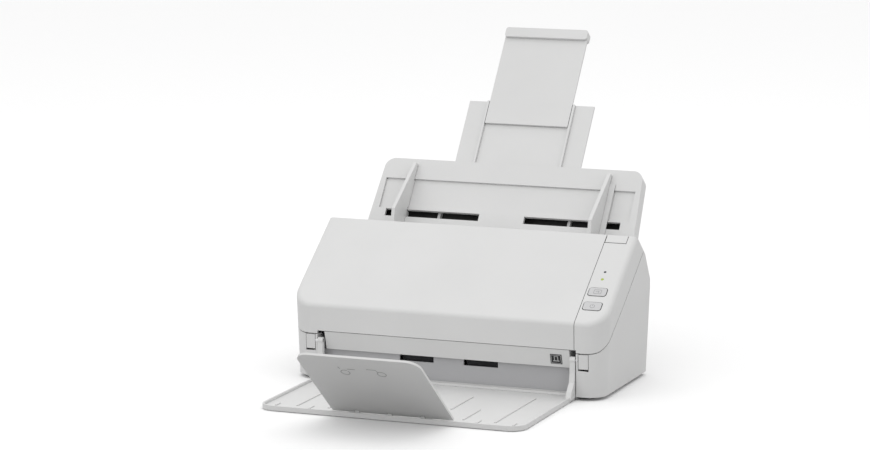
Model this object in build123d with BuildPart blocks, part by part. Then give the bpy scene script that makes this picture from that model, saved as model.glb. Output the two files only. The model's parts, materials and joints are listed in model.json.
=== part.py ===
"""Desktop sheet fed document scanner, as an assembly of separate pieces.

Millimetres. X to the right, Y to the back, Z up. The origin is on the desk, under the middle
of the body's 298 x 135 footprint. The paper goes in at the back, down the chute, and comes
out at the front, onto the stacker.
"""

from build123d import *
from math import acos, atan2, ceil, cos, degrees, floor, hypot, pi, radians, sin, sqrt, tan
import os

# Body
WIDTH = 298.0
DEPTH = 135.0
HEIGHT = 133.0
WALL = 2.5
BODY_FLOOR = 3.0
FLOOR_THICK = 2.5
FRONT_CORNER = 20.0
REAR_CORNER = 6.0
EDGE_SOFT = 5.0
DRAFT_Z = 80.0
DRAFT_ANGLE = 2.3
SEAM = 0.9
RIM_INSET = 1.65

# Outline of the body seen from the side, as (y, z)
CREASE = (-67.5, 68.5)
TOP_EDGE = (22.9, HEIGHT)
REAR_RIDGE = (47.0, 113.5)
REAR_BEND = (67.5, 80.0)
SLOPE_ANGLE = degrees(atan2(TOP_EDGE[1] - CREASE[1], TOP_EDGE[0] - CREASE[0]))
SLOPE = tan(radians(SLOPE_ANGLE))

# Seam between the cover and the lower body, and the cover's split on the right
SEAM_Z = 41.4
SEAM_KNEE = 14.0
SEAM_BACK = (42.1, 116.4)
PANEL_SPLIT = 121.0
FACET_BOTTOM = 45.0
SIDE_INNER = 122.6
FRONT_RECESS = 122.4
LUG_X = (124.9, 133.6)
LUG_R = 5.0
LUG_BOTTOM = 28.2
EXIT_TOP = 27.0
REAR_HALF = 132.0
REAR_TOP = 92.0

# Sensors, boards and sockets
SENSOR_HALF = 112.0
SENSOR_LONG = 14.0
SENSOR_GLASS = 1.0
LOWER_SENSOR_Y = -14.0
UPPER_SENSOR_Y = -28.0
MAIN_BOARD_Z = 10.0
MAIN_BOARD_THICK = 1.6
BOARD_SPOTS = [(6, 10), (104, 10), (6, 52), (104, 40)]
SCREW_SPOTS = [(-112, -40), (112, -40), (-112, 46), (112, 46)]
FOOT_SPOTS = [(-125, -50), (125, -50), (-125, 50), (125, 50), (0, 0)]
PORT_Z = 18.5
INLET_X = 60.0
INLET_R = 4.4
DATA_X = 86.0
DATA_SIZE = (12.0, 11.0)
LOCK_AT = (-110.0, 30.0)

# Cover hinge and stacker hinge, both along X
COVER_AXIS = (-60.5, 34.5)
TRAY_AXIS = (-64.5, 36.0)
COVER_PIN_R = 2.0
PIN_BOSS_R = 5.0
POCKET_R = 7.2
TRAY_PIN_R = 1.5
RUNNING = 0.06

# Paper path: a main run to the exit and the chute's plane, as seen from the side
PATH_EXIT = (-60.0, 25.5)
PATH_SLOPE = 0.5
PATH_ANGLE = degrees(atan2(PATH_SLOPE, 1))
CHUTE_ORIGIN = (56.5, 104.0)
CHUTE_ANGLE = 53.5
PATH_GAP = 1.9
CHUTE_FOOT_V = -40.0
BAND_TOP = (-65.2, 44.4)
BAND_BOTTOM = (-59.85, 27.7)
FRAME_X = 122.0
FRAME_THICK = 2.0
COVER_FRAME_HALF = 116.0

# Rollers and drive train
SHAFT_R = 2.5
PICK_AXIS = (27.14, 55.98)
FEED_AXIS = (3.0, 49.5)
EJECT_AXIS = (-46.5, 24.76)
PICK_R = 12.0
FEED_R = 7.0
EJECT_R = 7.0
BRAKE_R = 10.0
PINCH_R = 5.0
PINCH_SHAFT_R = 1.5
EJECT_PINCH_R = 3.8
NIP_GAP = 0.6
MODULE = 1.0
ROLLER_TEETH = 16
MOTOR_TEETH = 12
TRANSFER_TEETH = 40
GEAR_X = -126.5
GEAR_WIDTH = 5.0
BACKLASH = 0.3
ADDENDUM = 0.8
DEDENDUM = 1.1
MOTOR_R = 13.0
MOTOR_SHAFT_R = 1.5
MOTOR_BEARING = -45.0
MOTOR_BACK = -92.0
AXLE_R = 2.0
BUSH_R = 4.0
STRIKER_R = 2.0
HOOK_X = (117.2, 119.6)
PICK_WIDE = 40.0
FEED_X = 29.0
EJECT_X = 30.5

# Chute, guides and extension, in the chute's own plane: v up the slope, w out of its face
CHUTE_HALF = 131.8
CHUTE_TAPER = 0.06
CHUTE_LOW = -6.0
CHUTE_TOP = 92.0
CHUTE_THICK = 13.6
CHUTE_FACE = 3.0
CHUTE_SKIN = 2.2
CHUTE_BACK = 2.1
CHUTE_CORNER = 10.0
EXT_MOUTH = 6.0
EXT_LOW_HALF = 62.0
RECESS_HALF = 122.5
SLOT_X = (22.0, 115.0)
LEG_IN = 117.5
LEG_LOW = -24.0
FOOT_OUT = 102.5
PINION_TEETH = 12
PINION_V = 35.0
RACK_W = -5.8
RACK_THICK = 2.4
RACK_TALL = 4.5
RACK_V = (24.5, 45.5)
PINION_R = 6.0
PINION_AXLE_R = 2.0
SLOT_V = (31.0, 38.5)
RECESS_V = (39.5, 71.0)
EXT_TOP = 241.0
BAR_TALL = 10.0
BAR_HALF = 41.0

# Stacker tray and stopper
TRAY_HALF = 121.0
TRAY_FRONT = -200.0
TRAY_REAR = -58.0
TRAY_BOTTOM = 0.6
TRAY_FLOOR = 2.4
TRAY_RIM = 4.8
TRAY_CORNER = 14.0
RIB_TALL = 0.8
ARM_IN = 117.2
ARM_OUT = 122.0
ARM_HALF = 2.3
STOPPER_AXIS = (-192.4, 4.6)
STOPPER_ANGLE = 38.3
STOPPER_LONG = 105.0
STOPPER_HALF = 55.4
STOPPER_MIDDLE = 2.3
STOPPER_CORNER = 12.0
STOPPER_THICK = 2.0
STOPPER_LUGS = (-30.0, 0.0, 30.0)
STOPPER_KNUCKLE = 2.2
STOPPER_PIN_R = 0.9
TRAY_RIBS = ((91, -183, -81), (62, -182, -141), (38, -148, -95), (77, -190, -179), (109, -188, -179))

# Control strip, distances up the slope from the crease
PANEL_X = 131.8
PANEL_GAP = 0.5
BUTTON = (16.2, 9.4)
BUTTON_R = 2.2
BOARD = (20.0, 54.0)
BOARD_X = 133.0
BOARD_V = 39.5
BUTTON_V = (40.1, 22.6)
LAMP_V = (64.9, 55.8)
LEVER_V = (101.8, 109.6)
LEVER_X = (121.6, 141.0)
LATCH_AXIS = (-4.0, 104.0)
STRIKER = (33.0, 93.0)
LAMP_R = (1.2, 1.4)
POST_R = 2.0
BOARD_DEPTH = 7.6

os.makedirs("parts", exist_ok=True)


def save(part, name):
    """Label a piece and write it as its own STEP file."""
    part.label = name
    export_step(part, f"parts/{name}.step")


def on_slope(v):
    """The point of the front slope that is v up from the crease, as (y, z)."""
    angle = radians(SLOPE_ANGLE)
    return (CREASE[0] + v * cos(angle), CREASE[1] + v * sin(angle))


def slope_plane(v, x=0.0):
    """A plane on the slope: X across, Y up the slope, Z out of the cover."""
    y, z = on_slope(v)
    angle = radians(SLOPE_ANGLE)
    return Plane(origin=(x, y, z), x_dir=(1, 0, 0), z_dir=(0, -sin(angle), cos(angle)))


def path_point(y, lift=0.0):
    """A point lifted off the main run of the paper path, as (y, z)."""
    angle = radians(PATH_ANGLE)
    z = PATH_EXIT[1] + (y - PATH_EXIT[0]) * PATH_SLOPE
    return (y - lift * sin(angle), z + lift * cos(angle))


def path_plane(y, x=0.0):
    """A plane on the main run: X across, Y up the path, Z out of the paper."""
    angle = radians(PATH_ANGLE)
    point = path_point(y)
    return Plane(origin=(x, *point), x_dir=(1, 0, 0), z_dir=(0, -sin(angle), cos(angle)))


def chute_point(v, w=0.0):
    """A point in the chute's own directions, as (y, z)."""
    angle = radians(CHUTE_ANGLE)
    y = CHUTE_ORIGIN[0] + v * cos(angle) - w * sin(angle)
    z = CHUTE_ORIGIN[1] + v * sin(angle) + w * cos(angle)
    return (y, z)


def chute_plane(w=0.0, v=0.0, x=0.0):
    """A plane parallel to the chute's face: X across, Y up the chute, Z out of the face."""
    angle = radians(CHUTE_ANGLE)
    point = chute_point(v, w)
    return Plane(origin=(x, *point), x_dir=(1, 0, 0), z_dir=(0, -sin(angle), cos(angle)))


def across(x, point):
    """A plane across the machine at x, with its origin on the given (y, z)."""
    return Plane(origin=(x, *point), x_dir=(0, 1, 0), z_dir=(1, 0, 0))


def side_region(points, x_low=-WIDTH, x_high=WIDTH):
    """A block with the given side outline, from one x to the other."""
    with BuildPart() as block:
        with BuildSketch(Plane.YZ.offset(x_low)):
            with BuildLine():
                Polyline(*points, close=True)
            make_face()
        extrude(amount=x_high - x_low)
    return block.part


def rod(point, radius, x_low, x_high):
    """A round rod along X."""
    with BuildPart() as bar:
        with BuildSketch(across(x_low, point)):
            Circle(radius)
        extrude(amount=x_high - x_low)
    return bar.part


def envelope(inset):
    """The closed outer shape of the whole body, shrunk all round by the inset."""
    slope_far = -90.0
    slope_far_z = CREASE[1] + (slope_far - CREASE[0]) * SLOPE
    rear_far = 90.0
    rear_slope = (REAR_BEND[1] - REAR_RIDGE[1]) / (REAR_BEND[0] - REAR_RIDGE[0])
    rear_far_z = REAR_BEND[1] + (rear_far - REAR_BEND[0]) * rear_slope
    with BuildSketch(Plane.XY.offset(DRAFT_Z)) as plan:
        Rectangle(WIDTH - 2 * inset, DEPTH - 2 * inset)
        fillet(plan.vertices().group_by(Axis.Y)[0], FRONT_CORNER - inset)
        fillet(plan.vertices().group_by(Axis.Y)[-1].filter_by(lambda p: p.Y > 0), REAR_CORNER - inset)
    with BuildPart() as block:
        add(plan.sketch)
        extrude(amount=HEIGHT - DRAFT_Z + 5)
        add(plan.sketch)
        extrude(amount=-(DRAFT_Z - 1), taper=DRAFT_ANGLE)
        with BuildSketch(Plane.YZ):
            with BuildLine():
                Polyline(
                    (slope_far, BODY_FLOOR),
                    (slope_far, slope_far_z),
                    TOP_EDGE,
                    REAR_RIDGE,
                    (rear_far, rear_far_z),
                    (rear_far, BODY_FLOOR),
                    close=True,
                )
            make_face()
            if inset > 0:
                offset(amount=-inset, kind=Kind.INTERSECTION, mode=Mode.REPLACE)
        extrude(amount=WIDTH, both=True, mode=Mode.INTERSECT)
        slope_face = block.faces().filter_by(
            lambda f: abs(f.normal_at().Z - cos(radians(SLOPE_ANGLE))) < 0.01 and f.normal_at().Y < 0
        ).sort_by(SortBy.AREA)[-1]
        soft = slope_face.edges().filter_by(lambda e: e.center().Y < TOP_EDGE[0] - 8)
        fillet(soft, max(EDGE_SOFT - inset, 1.5))
    return block.part


OUTER = envelope(0.0)
INNER = envelope(WALL)
SHELL = OUTER - INNER


def cover_zone(gap):
    """Everything above the seam between the cover and the lower body."""
    far = 90.0
    far_z = SEAM_BACK[1] + (far - SEAM_BACK[0]) * SLOPE
    knee = SEAM_BACK[0] - (SEAM_BACK[1] - SEAM_Z) / SLOPE
    front = -95.0
    high = HEIGHT + 60
    outline = [(front, SEAM_Z + gap), (knee, SEAM_Z + gap), (far, far_z + gap), (far, high), (front, high)]
    with BuildPart() as zone:
        add(side_region(outline))
        fillet(zone.edges().filter_by(Axis.X).group_by(Axis.Z)[0].sort_by(Axis.Y)[-1], SEAM_KNEE)
    return zone.part


ZONE_ABOVE = cover_zone(SEAM)
ZONE_BELOW = cover_zone(0.0)


def rim_relief():
    """The bevel inside the cover's lower rim, so that the rim clears the body as it tips."""
    with BuildPart() as bevel:
        with BuildSketch(Plane.XY.offset(SEAM_Z)) as plan:
            Rectangle(WIDTH - 2 * RIM_INSET, DEPTH - 2 * RIM_INSET)
            fillet(plan.vertices().group_by(Axis.Y)[0], FRONT_CORNER - RIM_INSET)
        extrude(amount=6, taper=45)
    return bevel.part


RELIEF = rim_relief()


def slab(low, high):
    """Everything between two heights."""
    with BuildPart() as block:
        with BuildSketch(Plane.XY.offset(low)):
            Rectangle(2 * WIDTH, 4 * DEPTH)
        extrude(amount=high - low)
    return block.part


def inside_slope(v, depth):
    """A point at the given depth under the slope, as (y, z)."""
    y, z = on_slope(v)
    angle = radians(SLOPE_ANGLE)
    return (y + depth * sin(angle), z - depth * cos(angle))


def strip(points, thick):
    """A side outline of even thickness, laid on the left of a run of points."""
    normals = []
    for (y0, z0), (y1, z1) in zip(points, points[1:]):
        run = hypot(y1 - y0, z1 - z0)
        normals.append((-(z1 - z0) / run, (y1 - y0) / run))
    inner = []
    for i, (y, z) in enumerate(points):
        n0 = normals[max(i - 1, 0)]
        n1 = normals[min(i, len(normals) - 1)]
        scale = thick / (1 + n0[0] * n1[0] + n0[1] * n1[1])
        inner.append((y + (n0[0] + n1[0]) * scale, z + (n0[1] + n1[1]) * scale))
    return list(points) + inner[::-1]


def both_sides(part):
    """A piece and its mirror image, as one group."""
    return Compound([*part.solids(), *mirror(part, about=Plane.YZ).solids()])


def cylinders(spots, radius, low, high):
    """Upright round posts at the given (x, y) places."""
    with BuildPart() as posts:
        with BuildSketch(Plane.XY.offset(low)):
            with Locations(*spots):
                Circle(radius)
        extrude(amount=high - low)
    return posts.part


def meeting_point(first, second, first_reach, second_reach, side):
    """Where two circles about the given points cross, on the chosen side of their line."""
    dy, dz = second[0] - first[0], second[1] - first[1]
    apart = hypot(dy, dz)
    along = (apart**2 + first_reach**2 - second_reach**2) / (2 * apart)
    off = side * sqrt(first_reach**2 - along**2)
    return (
        first[0] + (along * dy - off * dz) / apart,
        first[1] + (along * dz + off * dy) / apart,
    )


def centre_distance(teeth, other_teeth):
    """How far apart two meshing gears stand."""
    return MODULE * (teeth + other_teeth) / 2


IDLER_REACH = centre_distance(ROLLER_TEETH, ROLLER_TEETH)
TRANSFER_REACH = centre_distance(ROLLER_TEETH, TRANSFER_TEETH)
MOTOR_REACH = centre_distance(ROLLER_TEETH, MOTOR_TEETH)
IDLER_AXIS = meeting_point(FEED_AXIS, PICK_AXIS, IDLER_REACH, IDLER_REACH, -1)
TRANSFER_AXIS = meeting_point(FEED_AXIS, EJECT_AXIS, TRANSFER_REACH, TRANSFER_REACH, 1)
MOTOR_AXIS = (
    IDLER_AXIS[0] + MOTOR_REACH * cos(radians(MOTOR_BEARING)),
    IDLER_AXIS[1] + MOTOR_REACH * sin(radians(MOTOR_BEARING)),
)
BRAKE_AXIS = path_point(22.0, BRAKE_R + NIP_GAP)
FEED_PINCH_AXIS = path_point(0.0, PINCH_R + NIP_GAP)
EJECT_PINCH_AXIS = path_point(-50.0, EJECT_PINCH_R + NIP_GAP)


# Covers ------------------------------------------------------------------------------


def lever_region(gap, front_gap):
    """The corner of the cover that the open lever takes up, grown by the gaps."""
    reach = 9.0
    tall = 30.0
    with BuildPart() as region:
        with BuildSketch(slope_plane(LEVER_V[0] - front_gap, (LEVER_X[0] + LEVER_X[1]) / 2)):
            with Locations((0, tall / 2)):
                Rectangle(LEVER_X[1] - LEVER_X[0] + 2 * gap, tall)
        extrude(amount=tall, both=True)
        add(slab(HEIGHT - reach - gap, HEIGHT + 5), mode=Mode.INTERSECT)
    return region.part


def facet_trim():
    """What is cut off the cover's front wall, between the two side covers."""
    low = SEAM_Z - 3
    outline = [(-75, low), (-75, FACET_BOTTOM), (-50, FACET_BOTTOM), (-50, low)]
    return side_region(outline, -SIDE_INNER, SIDE_INNER)


def make_front_cover():
    """The big sloped cover, from the left end to the control strip."""
    with BuildPart() as front_cover:
        add(SHELL)
        add(ZONE_ABOVE, mode=Mode.INTERSECT)
        split(bisect_by=Plane.YZ.offset(PANEL_SPLIT - PANEL_GAP / 2), keep=Keep.BOTTOM)
        add(RELIEF, mode=Mode.SUBTRACT)
        add(facet_trim(), mode=Mode.SUBTRACT)
    save(front_cover.part, "front_cover")


def make_control_panel():
    """The control strip at the right end, with holes for its buttons and lamps."""
    clearance = 0.65
    with BuildPart() as control_panel:
        add(SHELL)
        add(ZONE_ABOVE, mode=Mode.INTERSECT)
        split(bisect_by=Plane.YZ.offset(PANEL_SPLIT + PANEL_GAP / 2), keep=Keep.TOP)
        add(RELIEF, mode=Mode.SUBTRACT)
        add(facet_trim(), mode=Mode.SUBTRACT)
        add(lever_region(0.5, 0.8), mode=Mode.SUBTRACT)
        for v in BUTTON_V:
            with BuildSketch(slope_plane(v, PANEL_X)):
                RectangleRounded(BUTTON[0] + 2 * clearance, BUTTON[1] + 2 * clearance, BUTTON_R + clearance)
            extrude(amount=4, both=True, mode=Mode.SUBTRACT)
        for v, radius in zip(LAMP_V, LAMP_R):
            with BuildSketch(slope_plane(v, PANEL_X)):
                Circle(radius)
            extrude(amount=4, both=True, mode=Mode.SUBTRACT)
        with BuildSketch(slope_plane(BOARD_V, BOARD_X).offset(-WALL)):
            with GridLocations(BOARD[0] - 2 * POST_R, BOARD[1] - 2 * POST_R, 2, 2):
                Circle(POST_R - 0.4)
        extrude(amount=-(BOARD_DEPTH - WALL))
    save(control_panel.part, "control_panel_cover")


def make_lamps():
    """The two light pipes of the status lamps, down to the panel board."""
    with BuildPart() as lamps:
        for v, radius in zip(LAMP_V, LAMP_R):
            with BuildSketch(slope_plane(v, PANEL_X).offset(-BOARD_DEPTH)):
                Circle(radius)
            extrude(amount=BOARD_DEPTH + 0.2)
    save(lamps.part, "status_lamps")


def make_buttons():
    """The power button and the scan button, each a cap with a plunger."""
    proud = 0.4
    cap = 4.0
    plunger = 2.2
    for name, v in zip(("scan_button", "power_button"), BUTTON_V):
        with BuildPart() as button:
            with BuildSketch(slope_plane(v, PANEL_X).offset(proud - cap)):
                RectangleRounded(*BUTTON, BUTTON_R)
            extrude(amount=cap)
            with BuildSketch(slope_plane(v, PANEL_X).offset(proud - cap)):
                Circle(POST_R)
            extrude(amount=-plunger)
        save(button.part, name)


def make_panel_board():
    """The small board under the buttons and lamps."""
    with BuildPart() as board:
        with BuildSketch(slope_plane(BOARD_V, BOARD_X).offset(-BOARD_DEPTH)):
            Rectangle(*BOARD)
        extrude(amount=-1.6)
    save(board.part, "panel_board")


def cheek(axis, radius, x):
    """A small upright plate on the upper guide, which holds the end of a roller's shaft."""
    thick = 2.4
    tall = 10.0
    with BuildPart() as plate:
        with BuildSketch(across(x - thick / 2, axis)):
            Circle(radius + 2)
            with Locations(Location((0, 0), PATH_ANGLE - 90)):
                with Locations((tall / 2, 0)):
                    Rectangle(tall, 2 * radius + 4)
        extrude(amount=thick)
        above = [path_point(-70, 3.0), path_point(60, 3.0), (60, 200), (-70, 200)]
        add(side_region(above), mode=Mode.INTERSECT)
    return plate.part


def make_cover_frame():
    """The cover's inner frame: upper paper guide, front band, side plates and roller cheeks."""
    plate = 2.5
    guide = [BAND_TOP, BAND_BOTTOM, path_point(19.0, PATH_GAP), (27.5, 75.5), (40.3, 114.4)]
    side = [
        path_point(-57.5, 3.5),
        path_point(19.0, 3.5),
        (26.3, 77.0),
        (36.0, 115.5),
        (23.0, 126.5),
        inside_slope(106.0, WALL),
        inside_slope(5.0, WALL),
        (-62.5, 44.0),
    ]
    cheeks = (
        (BRAKE_AXIS, SHAFT_R, 26.0),
        (FEED_PINCH_AXIS, PINCH_SHAFT_R, 46.0),
        (EJECT_PINCH_AXIS, PINCH_SHAFT_R, 50.0),
    )
    with BuildPart() as cover_frame:
        add(side_region(strip(guide, plate), -COVER_FRAME_HALF, COVER_FRAME_HALF))
        for x in (-COVER_FRAME_HALF, COVER_FRAME_HALF - plate):
            add(side_region(side, x, x + plate))
        for axis, radius, x in cheeks:
            add(cheek(axis, radius, x))
            add(cheek(axis, radius, -x))
        for axis, radius, x in cheeks:
            add(rod(axis, radius + RUNNING, -x - 2, x + 2), mode=Mode.SUBTRACT)
            add(rod(axis, radius + NIP_GAP, -x + 1.2, x - 1.2), mode=Mode.SUBTRACT)
        add(rod(LATCH_AXIS, SHAFT_R + RUNNING, -120, 120), mode=Mode.SUBTRACT)
        for y, x, width, along in (
            (22.0, 0.0, 34.0, 21.0),
            (0.0, FEED_X, 24.0, 12.0),
            (0.0, -FEED_X, 24.0, 12.0),
            (-50.0, EJECT_X, 30.0, 9.0),
            (-50.0, -EJECT_X, 30.0, 9.0),
            (UPPER_SENSOR_Y, 0.0, 2 * SENSOR_HALF + 0.4, SENSOR_LONG + 0.4),
        ):
            with BuildSketch(path_plane(y, x)):
                Rectangle(width, along)
            extrude(amount=14, mode=Mode.SUBTRACT)
    save(cover_frame.part, "cover_inner_frame")


def make_hinge_lugs():
    """The cover's two hinge arms, whose faces show as tabs under the cover's corners."""
    top = SEAM_Z - 0.2
    rear = -57.2
    neck_front = -62.4
    neck_top = 47.5
    front = [(-70, LUG_BOTTOM), (-70, top), (rear, top), (rear, COVER_AXIS[1]), (COVER_AXIS[0], LUG_BOTTOM)]
    neck = [(neck_front, top - 1), (neck_front, neck_top), (rear, neck_top), (rear, top - 1)]
    beam_low = 44.0
    beam = [(-62.0, beam_low), (-62.0, neck_top), (rear, neck_top), (rear, beam_low)]
    with BuildPart() as lug:
        add(rod(COVER_AXIS, LUG_R, *LUG_X))
        add(side_region(front, *LUG_X))
        add(OUTER, mode=Mode.INTERSECT)
        add(side_region(neck, *LUG_X))
        add(side_region(beam, COVER_FRAME_HALF, LUG_X[1]))
        add(rod(COVER_AXIS, COVER_PIN_R + RUNNING, 120, 140), mode=Mode.SUBTRACT)
    save(lug.part, "hinge_lug_right")
    save(mirror(lug.part, about=Plane.YZ), "hinge_lug_left")


def band_plane(x, z):
    """A plane on the band's face at a height: X across, Y up the band."""
    dy, dz = BAND_TOP[0] - BAND_BOTTOM[0], BAND_TOP[1] - BAND_BOTTOM[1]
    y = BAND_BOTTOM[0] + (z - BAND_BOTTOM[1]) * dy / dz
    return Plane(origin=(x, y, z), x_dir=(1, 0, 0), z_dir=(0, -dz, dy))


def make_label():
    """A plain square label near the right end of the band."""
    with BuildPart() as label:
        with BuildSketch(band_plane(103.3, 35.1)):
            Rectangle(10.6, 9.4)
        extrude(amount=0.3)
    save(label.part, "front_label")


def make_latch():
    """The open lever, the shaft across the cover with its two hooks, and the spring."""
    web = [
        inside_slope(70.0, 5.6),
        inside_slope(99.0, 7.6),
        inside_slope(102.6, 5.5),
        inside_slope(102.6, 2.0),
        inside_slope(107.6, 2.0),
        inside_slope(107.6, 11.0),
        inside_slope(72.0, 10.6),
    ]
    with BuildPart() as lever:
        add(SHELL)
        add(lever_region(0.0, 0.0), mode=Mode.INTERSECT)
        add(side_region(web, 128, 132))
        add(rod(LATCH_AXIS, 4.5, 126, 134))
        add(rod(LATCH_AXIS, SHAFT_R, 120, 140), mode=Mode.SUBTRACT)
    save(lever.part, "cover_open_lever")
    hook = [
        (-5.0, 100.0),
        (30.0, 97.4),
        (33.6, 97.2),
        (36.0, 93.4),
        (37.6, 90.8),
        (40.0, 90.4),
        (40.2, 95.8),
        (36.2, 101.6),
        (-4.0, 108.3),
    ]
    with BuildPart() as shaft:
        add(rod(LATCH_AXIS, SHAFT_R, -HOOK_X[1], 135.5))
        for x_low in (HOOK_X[0], -HOOK_X[1]):
            x_high = x_low + HOOK_X[1] - HOOK_X[0]
            add(side_region(hook, x_low, x_high))
            add(rod(LATCH_AXIS, 4.5, x_low, x_high))
    save(shaft.part, "latch_shaft")
    coil_r = 3.9
    with BuildPart() as spring:
        with BuildLine():
            turns = Helix(pitch=1.5, height=9, radius=coil_r)
        with BuildSketch(Plane(origin=turns @ 0, z_dir=turns % 0)):
            Circle(0.4)
        sweep()
    save(spring.part.moved(across(100, LATCH_AXIS).location), "latch_spring")


def make_sensor(name, y, lift_low, lift_glass, lift_high):
    """One image sensor: its long bar and the glass that faces the paper."""
    with BuildPart() as bar:
        with BuildSketch(path_plane(y).offset(lift_low)):
            Rectangle(2 * SENSOR_HALF, SENSOR_LONG)
        extrude(amount=lift_high - lift_low)
    with BuildPart() as glass:
        with BuildSketch(path_plane(y).offset(lift_glass)):
            Rectangle(2 * SENSOR_HALF - 3, SENSOR_LONG - 2)
        extrude(amount=SENSOR_GLASS)
    save(bar.part, f"{name}_sensor_bar")
    save(glass.part, f"{name}_sensor_glass")


def make_sensors():
    """The lower and the upper image sensor, on either side of the paper path."""
    tall = 11.5
    make_sensor("lower", LOWER_SENSOR_Y, -SENSOR_GLASS - tall, -SENSOR_GLASS, -SENSOR_GLASS)
    low = PATH_GAP + SENSOR_GLASS
    make_sensor("upper", UPPER_SENSOR_Y, low, PATH_GAP, low + tall)


# Lower body --------------------------------------------------------------------------


def make_bottom_tray():
    """The floor of the machine, cut back in front for the stacker, with its bosses."""
    foot = 6.0
    with BuildPart() as tray:
        add(envelope_floor())
        with BuildSketch(Plane.XY.offset(BODY_FLOOR - 1)):
            with Locations((0, -DEPTH / 2 - 56.2)):
                Rectangle(2 * FRONT_RECESS, DEPTH)
        extrude(amount=10, mode=Mode.SUBTRACT)
        add(cylinders(BOARD_SPOTS, 3.0, BODY_FLOOR + FLOOR_THICK, MAIN_BOARD_Z))
        for x in (-60, -20, 20, 60):
            with BuildSketch(Plane.XY.offset(BODY_FLOOR + FLOOR_THICK)):
                with Locations((x, -22)):
                    Rectangle(1.6, 52)
            extrude(amount=3)
        add(cylinders(SCREW_SPOTS, 3.2, BODY_FLOOR - 1, BODY_FLOOR + 1.2), mode=Mode.SUBTRACT)
        add(cylinders(SCREW_SPOTS, 1.5, BODY_FLOOR - 1, BODY_FLOOR + 10), mode=Mode.SUBTRACT)
    save(tray.part, "bottom_tray")
    save(cylinders(FOOT_SPOTS, foot, 0, BODY_FLOOR), "rubber_feet")


def envelope_floor():
    """The body's outline at its floor, one floor thick."""
    with BuildPart() as floor:
        add(OUTER)
        add(slab(BODY_FLOOR, BODY_FLOOR + FLOOR_THICK), mode=Mode.INTERSECT)
    return floor.part


def make_screws():
    """The screws that hold the floor, sunk into its underside."""
    with BuildPart() as screws:
        add(cylinders(SCREW_SPOTS, 2.8, BODY_FLOOR + 0.2, BODY_FLOOR + 1.2))
        add(cylinders(SCREW_SPOTS, 1.5, BODY_FLOOR + 1.2, BODY_FLOOR + 5))
        for x, y in SCREW_SPOTS:
            with BuildSketch(Plane.XY.offset(BODY_FLOOR + 0.2)):
                with Locations((x, y)):
                    Rectangle(3.2, 0.7)
                    Rectangle(0.7, 3.2)
            extrude(amount=0.6, mode=Mode.SUBTRACT)
    save(screws.part, "case_screws")


def pocket_wall(wall, clear_r):
    """The inner wall of the hinge pocket in a side cover, round the cover's axis."""
    floor = BODY_FLOOR + FLOOR_THICK
    pocket = [(-70, floor), (-70, COVER_AXIS[1]), (-57, COVER_AXIS[1]), (-57, floor)]
    with BuildPart() as inner_wall:
        add(side_region(pocket, *wall))
        add(rod(COVER_AXIS, clear_r, *wall))
        add(OUTER, mode=Mode.INTERSECT)
        split(bisect_by=Plane.XZ.offset(57), keep=Keep.TOP)
    return inner_wall.part


def pin_boss():
    """The boss inside a side cover that holds the outer end of the cover's pin."""
    with BuildPart() as boss:
        add(rod(COVER_AXIS, PIN_BOSS_R, LUG_X[1] + 0.6, WIDTH / 2))
        add(OUTER, mode=Mode.INTERSECT)
    return boss.part


def make_side_covers():
    """The two side covers of the lower body, with the pocket walls that carry the pins."""
    lug_clear = 9.2
    wall = (SIDE_INNER, SIDE_INNER + 1.8)
    floor = BODY_FLOOR + FLOOR_THICK
    rear_inner = 132.3
    with BuildPart() as side_cover:
        add(SHELL)
        add(ZONE_BELOW, mode=Mode.SUBTRACT)
        add(slab(floor, HEIGHT + 5), mode=Mode.INTERSECT)
        with BuildSketch(Plane.XY.offset(floor)):
            with Locations((rear_inner + 50, 0)):
                Rectangle(100, 2 * DEPTH)
            with Locations((wall[0] + 50, -DEPTH)):
                Rectangle(100, 2 * DEPTH - 40)
        extrude(amount=HEIGHT, mode=Mode.INTERSECT)
        add(pocket_wall(wall, POCKET_R))
        add(pin_boss())
        cut = [(-80, LUG_BOTTOM - 0.6), (-80, SEAM_Z + 1), (-56, SEAM_Z + 1), (-56, LUG_BOTTOM - 0.6)]
        add(side_region(cut, wall[1], LUG_X[1] + 0.4), mode=Mode.SUBTRACT)
        add(rod(COVER_AXIS, lug_clear, wall[1], LUG_X[1] + 0.4), mode=Mode.SUBTRACT)
        add(rod(COVER_AXIS, COVER_PIN_R, 100, 138.8), mode=Mode.SUBTRACT)
        add(rod(TRAY_AXIS, TRAY_PIN_R, 100, wall[1]), mode=Mode.SUBTRACT)
    save(side_cover.part, "side_cover_right")
    save(mirror(side_cover.part, about=Plane.YZ), "side_cover_left")
    with BuildPart() as pins:
        add(rod(COVER_AXIS, COVER_PIN_R, wall[0] + 0.1, 138.8))
        add(rod(TRAY_AXIS, TRAY_PIN_R, ARM_IN, wall[1]))
    save(both_sides(pins.part), "hinge_pins")


def make_rear_cover():
    """The back wall with its slant, and the openings for the sockets and a lock."""
    floor = BODY_FLOOR + FLOOR_THICK
    outline = [(50, floor), (80, floor), (80, REAR_TOP), (50, REAR_TOP)]
    with BuildPart() as rear_cover:
        add(SHELL)
        add(side_region(outline, -REAR_HALF, REAR_HALF), mode=Mode.INTERSECT)
        with BuildSketch(Plane.XZ.offset(-50)):
            with Locations((INLET_X, PORT_Z)):
                Circle(INLET_R + 0.2)
            with Locations((DATA_X, PORT_Z)):
                Rectangle(DATA_SIZE[0] + 0.4, DATA_SIZE[1] + 0.4)
            with Locations(LOCK_AT):
                RectangleRounded(7, 3, 0.8)
        extrude(amount=-30, mode=Mode.SUBTRACT)
        for x in range(-60, 30, 8):
            with BuildSketch(Plane.XZ.offset(-50)):
                with Locations((x, 52)):
                    SlotOverall(14, 2, rotation=90)
            extrude(amount=-30, mode=Mode.SUBTRACT)
    save(rear_cover.part, "rear_cover")


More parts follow.
